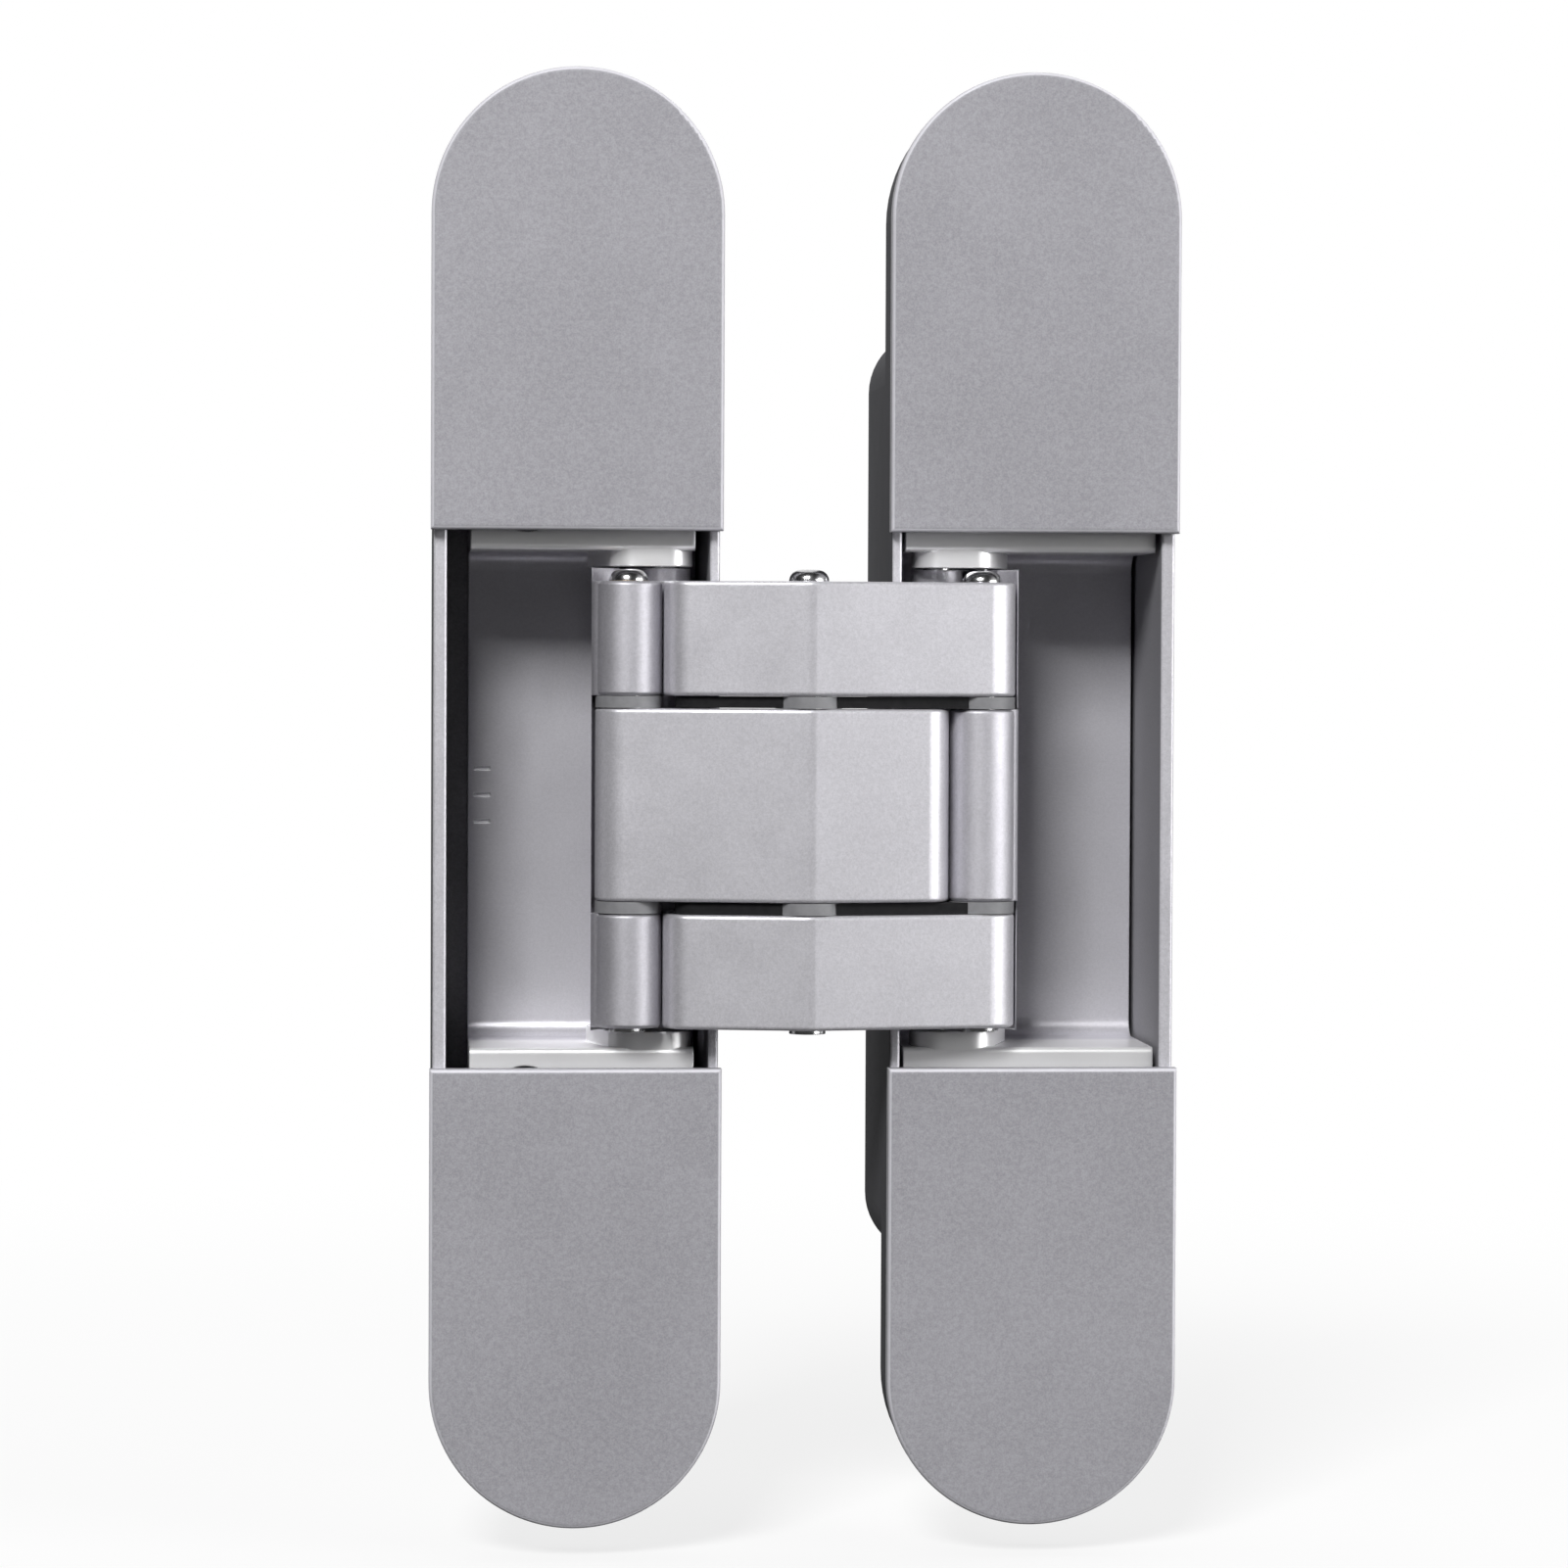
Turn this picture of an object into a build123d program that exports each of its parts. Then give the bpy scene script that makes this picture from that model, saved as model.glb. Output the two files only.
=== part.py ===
from build123d import *

import os
from math import hypot, sqrt

# Concealed door hinge with three adjustments, opened flat to 180 degrees.
# Working frame: X across the hinge from its middle pin, Y is the depth behind the cover fronts, Z is up.
# Points of the plan are given for the frame leaf as (out, depth), out being counted from its inner edge.

# Leaves and covers
LEAF_WIDTH = 32.0
LEAF_LENGTH = 160.0
LEAF_GAP = 18.4
WINDOW_HEIGHT = 59.0
COVER_THICK = 2.0
COVER_EDGE = 0.5
HALF_GAP = LEAF_GAP / 2
LEAF_MIDDLE = LEAF_WIDTH / 2

# Die-cast housings
HOUSING_INSET = 0.3
FLANGE_DEPTH = 11.0
FLANGE_SKIN = 3.0
FLANGE_WALL = 1.8
BOX_LENGTH = 107.0
BOX_DEPTH = 32.0
BOX_CORNER = 7.25
CAVITY_LENGTH = 104.0
CAVITY_CORNER = 4.5
INNER_WALL = 1.1
OUTER_WALL = 1.5
FLOOR_DEPTH = 29.2
RIM_EDGE = 0.3
CASTING_EDGE = 1.2
CAVITY_INNER = HOUSING_INSET + INNER_WALL
CAVITY_OUTER = LEAF_WIDTH - HOUSING_INSET - OUTER_WALL
CAVITY_WIDTH = CAVITY_OUTER - CAVITY_INNER
CAVITY_MIDDLE = (CAVITY_INNER + CAVITY_OUTER) / 2

# Fixing screws for the wood, four in each leaf
SCREW_SPACING_X = 16.0
SCREW_SPACING_Z = 128.0
SCREW_HOLE_R = 2.6
SCREW_HEAD_R = 5.2
SCREW_BOSS_R = 5.8

# Clips and pegs behind the covers
CLIP_Z = 45.3
CLIP_WIDTH = 3.8
CLIP_THICK = 1.2
CLIP_REACH = 9.0
PEG_Z = 73.0
PEG_R = 1.6
PEG_REACH = 4.6

# Pivots of the linkage
ARM_PIVOT = (6.0, 8.5)
CENTRE_PIVOT = (-HALF_GAP, -2.0)
JOINT_PIVOT = (10.3, 2.0)
LINK_PIVOT = (10.45, 13.45)
LINK_END = (11.43, 13.83)
LINK_PLAY = 1.06
FAR_PIVOT = (-LEAF_GAP - JOINT_PIVOT[0], JOINT_PIVOT[1])

# Heights of the stacked arms
STACK_DROP = 0.5
MIDDLE_ARM_HALF = 10.55
ARM_GAP = 1.4
OUTER_ARM_HEIGHT = 12.5
BARREL_HALF = 25.45
OUTER_ARM_LOW = MIDDLE_ARM_HALF + ARM_GAP
OUTER_ARM_HIGH = OUTER_ARM_LOW + OUTER_ARM_HEIGHT

# Sections of the arms and links
KNUCKLE_R = 3.65
CENTRE_BOSS_R = 3.4
CREASE_R = 3.0
CREASE_FRONT = 3.65
ARM_END_R = 2.6
ARM_END = (3.5, -0.45)
ARM_UNDERSIDE = 1.0
ARM_NECK = 3.2
ARCH_DEPTH = 12.0
ARCH_CORNER = 1.5
ARM_EDGE = 0.4
KNUCKLE_EDGE = 0.3
BARREL_R = 2.8
LINK_BARREL_R = 2.5
LINK_WEB_R = 1.5
LINK_WEB_OUT = 0.4
SWING_CLEARANCE = 0.4

# Pins, bushes and washers
PIN_R = 2.0
PIN_HEAD_R = 2.2
PIN_DOME = 1.3
PIN_FOOT = 0.5
ARM_PIN_R = 1.6
LINK_PIN_R = 1.3
PIN_HALF = 35.0
BUSH_WALL = 0.55
RUN_CLEARANCE = 0.05
SEAT_CLEARANCE = 0.02
OVERCUT = 1.0
WASHER_SLACK = 0.1
PAD_INSET = 0.8

# Carriers that hold the linkage
FRAME_CARRIER_INNER = 2.95
FRAME_CARRIER_OUTER = 27.6
DOOR_CARRIER_WIDTH = 27.8
CARRIER_FRONT = 3.0
CARRIER_BACK = 21.4
CARRIER_PLATE = 3.3
LEDGE = 27.4
CARRIER_HALF = 40.0
BOSS_FACE = 25.65
BOSS_FRONT = 6.0
BOSS_OUT = 9.5
BOSS_R = 2.9
LEDGE_EDGE = 0.6
POCKET_CORNER = 2.0
KEY_WIDTH = 4.0
KEY_DEPTH = 1.5
RIB_DEPTH = 3.0
RIB_SPACING = 16.0
DOOR_PLATE_HALF = 51.2
CARRIER_REAR = CARRIER_BACK + CARRIER_PLATE
FRAME_CARRIER_WIDTH = FRAME_CARRIER_OUTER - FRAME_CARRIER_INNER
FRAME_CARRIER_MIDDLE = (FRAME_CARRIER_INNER + FRAME_CARRIER_OUTER) / 2

# Scale for the height setting
TICK_PITCH = 3.0
TICK_LENGTH = 1.8
TICK_WIDTH = 0.35
TICK_DEPTH = 0.25
TICK_OUT = 26.0
INDEX_FRONT = 15.0

# Travel of the settings
SIDE_TRAVEL = 1.3
HEIGHT_TRAVEL = 3.0

# Slide plate and its screws
PLATE_FRONT = CARRIER_REAR + 0.1
PLATE_THICK = 4.0
PLATE_HALF = 51.2
PLATE_CORNER = 6.5
PLATE_REAR = PLATE_FRONT + PLATE_THICK
ADJUST_Z = 47.5
CLAMP_OUT = 21.5
CLAMP_Z = 36.0
SLIDE_SCREW_OUT = 22.0
CAP_HEAD_R = 3.5
CAP_HEAD_HEIGHT = 4.0
CAP_SHANK_R = 2.0
HEX_FLATS = 3.0
HEX_DEPTH = 2.2
CLAMP_SEAT = 16.0
NOTCH_CLEARANCE = 0.15

# Eccentrics for the side setting
ECCENTRIC_OUT = 10.0
ECCENTRIC_THROW = 2.0
ECCENTRIC_R = 3.6
ECCENTRIC_HEAD = 2.8
ECCENTRIC_JOURNAL_R = 1.4
ECCENTRIC_FOOT = 31.2
ECCENTRIC_RISE = 0.6
ECCENTRIC_SLACK = 0.1

# Screws for the depth setting
DEPTH_SCREW_Z = 46.0
DEPTH_SCREW_R = 2.5
DEPTH_SCREW_FRONT = 18.0
DEPTH_JOURNAL_R = 1.6
DEPTH_RIVET_R = 2.4
DEPTH_RIVET_FRONT = 31.35
DEPTH_RIVET_BACK = 31.85
DEPTH_RECESS_R = 2.8

# The origin of the part: middle of the frame leaf's screws, on the back of its flange
ORIGIN_SHIFT = (HALF_GAP + LEAF_MIDDLE, -FLANGE_DEPTH, 0)


def across(out):
    """X of a point on the frame leaf, from its distance to the leaf's inner edge."""
    return -(HALF_GAP + out)


def spot(point):
    """Plan position of an (out, depth) point."""
    return Pos(across(point[0]), point[1])


def disc(point, radius):
    """Round plan shape about an (out, depth) point."""
    return spot(point) * Circle(radius)


def web(*discs):
    """Plan shape that wraps a few discs like a belt."""
    return make_hull(Curve([edge for item in discs for edge in item.edges()]).edges())


def belt(first, first_r, second, second_r):
    """Plan shape of two discs joined by their outer tangents."""
    reach = (first[0] - second[0], second[1] - first[1])
    length = hypot(*reach)
    along = (reach[0] / length, reach[1] / length)
    lean = (first_r - second_r) / length
    rise = sqrt(1 - lean * lean)
    corners = []
    for point, radius, sides in ((first, first_r, (1, -1)), (second, second_r, (-1, 1))):
        for side in sides:
            turn_x = along[0] * lean - side * along[1] * rise
            turn_y = along[1] * lean + side * along[0] * rise
            corners.append((across(point[0]) + radius * turn_x, point[1] + radius * turn_y))
    return make_face(Polyline(*corners, close=True)) + disc(first, first_r) + disc(second, second_r)


def tower(shape, low, high):
    """A plan shape raised from one height to another."""
    return extrude(Pos(0, 0, low) * shape, amount=high - low)


def slab(shape, front, back):
    """A front-view shape carried from one depth to another."""
    return extrude(Plane.XZ.offset(-front) * shape, amount=front - back)


def rod(out, height, radius, front, back):
    """Round bar along the depth."""
    return slab(Pos(across(out), height) * Circle(radius), front, back)


def both(low, high):
    """The two mirrored height bands of the outer arms or bosses."""
    return ((low, high), (-high, -low))


def other_leaf(shape):
    """The same piece on the door leaf."""
    return mirror(shape, about=Plane.YZ)


# Covers
def cover(side):
    """Clip-on cover: flat plate with a round end, two clips inside the side walls and a peg."""
    plate = Pos(across(LEAF_MIDDLE), 0) * SlotOverall(LEAF_LENGTH, LEAF_WIDTH, rotation=90)
    keep = Pos(across(LEAF_MIDDLE), side * (WINDOW_HEIGHT + LEAF_LENGTH) / 2)
    plate = plate & keep * Rectangle(LEAF_WIDTH, LEAF_LENGTH)
    body = slab(plate, 0, COVER_THICK)
    front = body.faces().sort_by(Axis.Y)[0]
    body = fillet(front.edges(), COVER_EDGE)
    for wall in (CAVITY_INNER + CLIP_THICK / 2, CAVITY_OUTER - CLIP_THICK / 2):
        clip = Pos(across(wall), side * CLIP_Z) * Rectangle(CLIP_THICK, CLIP_WIDTH)
        body += slab(clip, COVER_THICK - COVER_EDGE, CLIP_REACH)
    return body + rod(LEAF_MIDDLE, side * PEG_Z, PEG_R, COVER_THICK - COVER_EDGE, COVER_THICK + PEG_REACH)


# Housings
def housing():
    """Die-cast leaf body: shallow round-ended flange, deep box with a pocket, cored ends and screw holes."""
    middle = Pos(across(LEAF_MIDDLE), 0)
    width = LEAF_WIDTH - 2 * HOUSING_INSET
    length = LEAF_LENGTH - 2 * HOUSING_INSET
    body = slab(middle * SlotOverall(length, width, rotation=90), COVER_THICK, FLANGE_DEPTH)
    body += slab(middle * RectangleRounded(width, BOX_LENGTH, BOX_CORNER), FLANGE_DEPTH, BOX_DEPTH)
    back = body.faces().sort_by(Axis.Y)[-1]
    body = fillet(back.edges(), CASTING_EDGE)

    cavity = Pos(across(CAVITY_MIDDLE), 0) * RectangleRounded(CAVITY_WIDTH, CAVITY_LENGTH, CAVITY_CORNER)
    body -= slab(cavity, 0, FLOOR_DEPTH)
    rim = body.faces().sort_by(Axis.Y)[0]
    body = fillet(rim.edges(), RIM_EDGE)

    core = middle * SlotOverall(length - 2 * FLANGE_WALL, width - 2 * FLANGE_WALL, rotation=90)
    core -= middle * Rectangle(LEAF_WIDTH, BOX_LENGTH + 2 * FLANGE_WALL)
    core -= middle * Rectangle(FLANGE_WALL, LEAF_LENGTH)
    screws = [
        middle * Pos(side * SCREW_SPACING_X / 2, end * SCREW_SPACING_Z / 2)
        for side in (-1, 1)
        for end in (-1, 1)
    ]
    for place in screws:
        core -= place * Circle(SCREW_BOSS_R)
    for end in (-1, 1):
        core -= middle * Pos(0, end * PEG_Z) * Circle(PEG_R + FLANGE_WALL)
    body -= slab(core, COVER_THICK + FLANGE_SKIN, BOX_DEPTH)
    for place in screws:
        body -= slab(place * Circle(SCREW_HOLE_R), 0, BOX_DEPTH)
        sink = Plane.XZ.offset(-COVER_THICK) * place * Circle(SCREW_HEAD_R)
        body -= extrude(sink, amount=SCREW_HOLE_R - SCREW_HEAD_R, taper=45)
    for end in (-1, 1):
        peg_tip = COVER_THICK + PEG_REACH + SEAT_CLEARANCE
        body -= rod(LEAF_MIDDLE, end * PEG_Z, PEG_R + SEAT_CLEARANCE, 0, peg_tip)
    return body


def frame_housing():
    """Frame leaf body with seats for the eccentrics and slide screws, and the index of the height scale."""
    body = housing()
    for end in (-1, 1):
        journal = ECCENTRIC_JOURNAL_R + RUN_CLEARANCE
        foot = ECCENTRIC_FOOT + RUN_CLEARANCE
        body -= rod(ECCENTRIC_OUT, end * ADJUST_Z, journal, FLOOR_DEPTH - OVERCUT, foot)
        thread = CAP_SHANK_R + SEAT_CLEARANCE
        body -= rod(SLIDE_SCREW_OUT, end * ADJUST_Z, thread, FLOOR_DEPTH - OVERCUT, ECCENTRIC_FOOT)
    index = Pos(across(CAVITY_OUTER), 0) * Rectangle(2 * TICK_DEPTH, TICK_WIDTH)
    return body - slab(index, INDEX_FRONT, CARRIER_BACK)


def door_housing():
    """Door leaf body with the bearings of the two depth screws."""
    body = housing()
    for end in (-1, 1):
        height = end * DEPTH_SCREW_Z
        body -= rod(CAVITY_MIDDLE, height, DEPTH_JOURNAL_R + RUN_CLEARANCE, FLOOR_DEPTH - OVERCUT, BOX_DEPTH)
        body -= rod(CAVITY_MIDDLE, height, DEPTH_RECESS_R, DEPTH_RIVET_FRONT - RUN_CLEARANCE, BOX_DEPTH)
    return other_leaf(body)


# Carriers
def ledge_edges(body, depth):
    """The edges of the two ledges that lie at one depth."""
    return [
        edge
        for edge in body.edges().filter_by(Axis.X)
        if abs(abs(edge.center().Z) - LEDGE) < RUN_CLEARANCE and abs(edge.center().Y - depth) < RUN_CLEARANCE
    ]


def carrier(middle, width, plate_half, plate_corner):
    """C-shaped casting: back plate with a block and a pivot boss at each end."""
    plate = RectangleRounded(width, 2 * plate_half, plate_corner)
    body = slab(Pos(across(middle), 0) * plate, CARRIER_BACK, CARRIER_REAR)
    height = CARRIER_HALF - LEDGE
    for end in (-1, 1):
        block = Pos(across(middle), end * (LEDGE + CARRIER_HALF) / 2) * Rectangle(width, height)
        body += slab(block, CARRIER_FRONT, CARRIER_REAR)
    body = fillet(ledge_edges(body, CARRIER_BACK), POCKET_CORNER)
    body = fillet(ledge_edges(body, CARRIER_FRONT), LEDGE_EDGE)
    boss = web(
        disc((ARM_PIVOT[0], BOSS_FRONT), BOSS_R),
        disc((BOSS_OUT, BOSS_FRONT), BOSS_R),
        disc(LINK_PIVOT, BOSS_R + LINK_PLAY),
        disc(ARM_PIVOT, BOSS_R),
    )
    for low, high in both(BOSS_FACE, LEDGE + LEDGE_EDGE):
        body += tower(boss, low, high)
    arm_hole = disc(ARM_PIVOT, ARM_PIN_R + SEAT_CLEARANCE)
    link_hole = disc(LINK_PIVOT, LINK_PIN_R + LINK_PLAY + RUN_CLEARANCE)
    for low, high in both(BOSS_FACE - OVERCUT, PIN_HALF + SEAT_CLEARANCE):
        body -= tower(arm_hole, low, high)
        body -= tower(link_hole, low, high)
    return body


def frame_carrier():
    """Carrier that slides in height: open notches for the clamp screws, a guide key and the scale ticks."""
    body = carrier(FRAME_CARRIER_MIDDLE, FRAME_CARRIER_WIDTH, CARRIER_HALF, COVER_EDGE)
    for end in (-1, 1):
        for radius, front, back in (
            (CAP_HEAD_R + NOTCH_CLEARANCE, 0, CLAMP_SEAT),
            (CAP_SHANK_R + NOTCH_CLEARANCE, CLAMP_SEAT - OVERCUT, BOX_DEPTH),
        ):
            bottom = CLAMP_Z - HEIGHT_TRAVEL
            top = CARRIER_HALF + OVERCUT
            notch = Pos(across(CLAMP_OUT), end * (bottom + top) / 2) * Rectangle(2 * radius, top - bottom)
            body -= slab(notch, front, back)
            body -= rod(CLAMP_OUT, end * bottom, radius, front, back)
    key = Pos(across(CAVITY_MIDDLE), 0) * Rectangle(KEY_WIDTH, 2 * CARRIER_HALF)
    body += slab(key, CARRIER_REAR, CARRIER_REAR + KEY_DEPTH)
    for step in (-1, 0, 1):
        tick = Pos(across(TICK_OUT), step * TICK_PITCH) * Rectangle(TICK_LENGTH, TICK_WIDTH)
        body -= slab(tick, CARRIER_BACK - OVERCUT, CARRIER_BACK + TICK_DEPTH)
    return body


def door_carrier():
    """Carrier that moves in depth: longer back plate on two screws, stiffened by ribs."""
    body = carrier(CAVITY_MIDDLE, DOOR_CARRIER_WIDTH, DOOR_PLATE_HALF, PLATE_CORNER)
    for side in (-1, 1):
        place = Pos(across(CAVITY_MIDDLE) + side * RIB_SPACING / 2, 0)
        rib = place * Rectangle(FLANGE_WALL, 2 * CARRIER_HALF)
        body += slab(rib, CARRIER_REAR, CARRIER_REAR + RIB_DEPTH)
    for end in (-1, 1):
        hole = DEPTH_SCREW_R + RUN_CLEARANCE
        body -= rod(CAVITY_MIDDLE, end * DEPTH_SCREW_Z, hole, CARRIER_BACK - OVERCUT, PLATE_REAR)
    return other_leaf(body)


# Arms and links
def arch(left, right):
    """Hollow under an arm between two X positions."""
    middle = Pos((left + right) / 2, ARM_UNDERSIDE + ARCH_DEPTH / 2)
    return middle * RectangleRounded(right - left, ARCH_DEPTH, ARCH_CORNER)


def arm_front(inset):
    """Plan of an arm's creased front, drawn in by an inset."""
    crease = (CENTRE_PIVOT[0], CENTRE_PIVOT[1] - CREASE_FRONT + CREASE_R)
    shape = belt(crease, CREASE_R - inset, FAR_PIVOT, KNUCKLE_R - inset)
    return shape + belt(crease, CREASE_R - inset, ARM_END, ARM_END_R - inset)


def arm_plan():
    """Plan of a crossing arm: goose neck on the near pivot, creased front, knuckle in the far leaf."""
    shape = arm_front(0)
    shape += belt(ARM_END, ARM_END_R, ARM_PIVOT, BARREL_R)
    shape -= arch(across(ARM_NECK), across(FAR_PIVOT[0]))
    shape += disc(CENTRE_PIVOT, CENTRE_BOSS_R)
    shape += disc(FAR_PIVOT, KNUCKLE_R)
    shape += disc(ARM_PIVOT, BARREL_R)
    return shape - disc(JOINT_PIVOT, KNUCKLE_R + SWING_CLEARANCE)


def arm_bar(shape, low, high):
    """One prong of an arm with softened edges above and below."""
    bar = tower(shape, low, high)
    ends = bar.faces().filter_by(Axis.Z).edges()
    return fillet([edge for edge in ends if edge.center().Y < 0], ARM_EDGE)


def fork_arm():
    """Arm on the frame leaf's pivot: two prongs on one barrel, over and under the blade arm."""
    shape = arm_plan()
    body = tower(disc(ARM_PIVOT, BARREL_R), -BARREL_HALF, BARREL_HALF)
    for low, high in both(OUTER_ARM_LOW, OUTER_ARM_HIGH):
        body += arm_bar(shape, low - STACK_DROP, high - STACK_DROP)
    body -= tower(disc(ARM_PIVOT, ARM_PIN_R + RUN_CLEARANCE), -PIN_HALF, PIN_HALF)
    for point in (CENTRE_PIVOT, FAR_PIVOT):
        body -= tower(disc(point, PIN_R + SEAT_CLEARANCE), -PIN_HALF, PIN_HALF)
    return body


def blade_arm():
    """Arm on the door leaf's pivot: one wide prong between the fork's two."""
    shape = arm_plan()
    body = tower(disc(ARM_PIVOT, BARREL_R), -BARREL_HALF, BARREL_HALF)
    body += arm_bar(shape, -MIDDLE_ARM_HALF - STACK_DROP, MIDDLE_ARM_HALF - STACK_DROP)
    body -= tower(disc(ARM_PIVOT, ARM_PIN_R + RUN_CLEARANCE), -PIN_HALF, PIN_HALF)
    body -= tower(disc(CENTRE_PIVOT, PIN_R + RUN_CLEARANCE + BUSH_WALL), -PIN_HALF, PIN_HALF)
    body -= tower(disc(FAR_PIVOT, PIN_R + SEAT_CLEARANCE), -PIN_HALF, PIN_HALF)
    return other_leaf(body)


def short_link(knuckle_bands, clear_bands):
    """Short link: hidden barrel, side web and the knuckles that carry the end of the other arm."""
    reach = KNUCKLE_R + LINK_WEB_OUT - LINK_WEB_R
    top = disc((JOINT_PIVOT[0] + reach, JOINT_PIVOT[1]), LINK_WEB_R)
    bottom = disc((LINK_END[0] + LINK_BARREL_R - LINK_WEB_R, LINK_END[1]), LINK_WEB_R)
    body = tower(web(top, bottom) + disc(LINK_END, LINK_BARREL_R), -BARREL_HALF, BARREL_HALF)
    for low, high in clear_bands:
        body -= tower(disc(JOINT_PIVOT, KNUCKLE_R + SWING_CLEARANCE), low - STACK_DROP, high - STACK_DROP)
    for low, high in knuckle_bands:
        knuckle = tower(disc(JOINT_PIVOT, KNUCKLE_R), low - STACK_DROP, high - STACK_DROP)
        body += chamfer(knuckle.edges().filter_by(GeomType.CIRCLE), KNUCKLE_EDGE)
    bore = disc(JOINT_PIVOT, PIN_R + RUN_CLEARANCE + BUSH_WALL)
    body -= tower(bore, -PIN_HALF, PIN_HALF)
    return body - tower(disc(LINK_END, LINK_PIN_R + SEAT_CLEARANCE), -PIN_HALF, PIN_HALF)


def frame_link():
    """Link in the frame leaf: an upper and a lower knuckle round the blade arm's end."""
    clear = ((-OUTER_ARM_LOW, OUTER_ARM_LOW), *both(OUTER_ARM_HIGH, PIN_HALF))
    return short_link(both(OUTER_ARM_LOW, OUTER_ARM_HIGH), clear)


def door_link():
    """Link in the door leaf: one middle knuckle between the fork arm's ends."""
    clear = both(MIDDLE_ARM_HALF, PIN_HALF)
    return other_leaf(short_link(((-MIDDLE_ARM_HALF, MIDDLE_ARM_HALF),), clear))


# Pins, bushes and washers
def domed_pin(point):
    """Riveted joint pin: domed head above the stack and a flat upset foot below it."""
    low = -OUTER_ARM_HIGH - STACK_DROP
    high = OUTER_ARM_HIGH - STACK_DROP
    head = tower(disc(point, PIN_HEAD_R), high, high + PIN_DOME)
    crown = head.faces().sort_by(Axis.Z)[-1]
    head = fillet(crown.edges(), PIN_DOME - RUN_CLEARANCE)
    return head + tower(disc(point, PIN_R), low - PIN_FOOT, high)


def plain_pin(point, radius):
    """Straight pin between the two blocks of a carrier."""
    return tower(disc(point, radius), -PIN_HALF, PIN_HALF)


def bush(point, low, high):
    """Thin bearing sleeve round a joint pin."""
    inner = PIN_R + RUN_CLEARANCE
    ring = disc(point, inner + BUSH_WALL - SEAT_CLEARANCE) - disc(point, inner)
    return tower(ring, low - STACK_DROP, high - STACK_DROP)


def washers(point):
    """The two thrust washers of one joint, in the gaps above and below the blade arm."""
    ring = disc(point, KNUCKLE_R) - disc(point, PIN_R + RUN_CLEARANCE)
    pair = [
        tower(ring, low - STACK_DROP, high - STACK_DROP)
        for low, high in both(MIDDLE_ARM_HALF + WASHER_SLACK / 2, OUTER_ARM_LOW - WASHER_SLACK / 2)
    ]
    return Compound(children=pair)


def glide_pads():
    """Dark pads in the gaps between the fork's prongs and the blade, either side of the centre washers."""
    keep = Pos(0, ARM_UNDERSIDE - PAD_INSET - LEAF_GAP / 2) * Rectangle(LEAF_LENGTH, LEAF_GAP)
    sheet = arm_front(PAD_INSET) & keep
    for point in (CENTRE_PIVOT, FAR_PIVOT):
        sheet -= disc(point, KNUCKLE_R + WASHER_SLACK)
    sheet -= disc(JOINT_PIVOT, KNUCKLE_R + SWING_CLEARANCE)
    pads = []
    for low, high in both(MIDDLE_ARM_HALF + WASHER_SLACK, OUTER_ARM_LOW - RUN_CLEARANCE):
        pads += tower(sheet, low - STACK_DROP, high - STACK_DROP).solids()
    return Compound(children=pads)


# Settings
def hex_socket(out, height, front):
    """Hexagon recess for a key."""
    flats = Pos(across(out), height) * RegularPolygon(HEX_FLATS / 2, 6, major_radius=False)
    return slab(flats, front, front + HEX_DEPTH)


def cap_screw(out, height, seat, tip):
    """Socket cap screw along the depth."""
    body = rod(out, height, CAP_HEAD_R, seat - CAP_HEAD_HEIGHT, seat)
    rim = body.faces().sort_by(Axis.Y)[0]
    body = fillet(rim.edges(), COVER_EDGE)
    body += rod(out, height, CAP_SHANK_R, seat, tip)
    return body - hex_socket(out, height, seat - CAP_HEAD_HEIGHT)


def slide_plate():
    """Plate on the pocket floor: slides sideways and carries the clamp screws of the carrier."""
    plate = RectangleRounded(FRAME_CARRIER_WIDTH, 2 * PLATE_HALF, PLATE_CORNER)
    body = slab(Pos(across(FRAME_CARRIER_MIDDLE), 0) * plate, PLATE_FRONT, PLATE_REAR)
    groove = Pos(across(CAVITY_MIDDLE), 0) * Rectangle(KEY_WIDTH + 2 * ECCENTRIC_SLACK, 4 * PLATE_HALF)
    body -= slab(groove, PLATE_FRONT, CARRIER_REAR + KEY_DEPTH + ECCENTRIC_SLACK)
    for end in (-1, 1):
        body -= rod(CLAMP_OUT, end * CLAMP_Z, CAP_SHANK_R + SEAT_CLEARANCE, PLATE_FRONT, PLATE_REAR)
        half_slot = CAP_SHANK_R + NOTCH_CLEARANCE
        slot = SlotOverall(2 * (half_slot + SIDE_TRAVEL), 2 * half_slot)
        body -= slab(Pos(across(SLIDE_SCREW_OUT), end * ADJUST_Z) * slot, PLATE_FRONT, PLATE_REAR)
        window_half = ECCENTRIC_R + ECCENTRIC_SLACK
        rise = ECCENTRIC_THROW - ECCENTRIC_RISE / 2
        window = Rectangle(2 * window_half, 2 * window_half + ECCENTRIC_RISE)
        body -= slab(Pos(across(ECCENTRIC_OUT), end * (ADJUST_Z - rise)) * window, PLATE_FRONT, PLATE_REAR)
    return body


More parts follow.
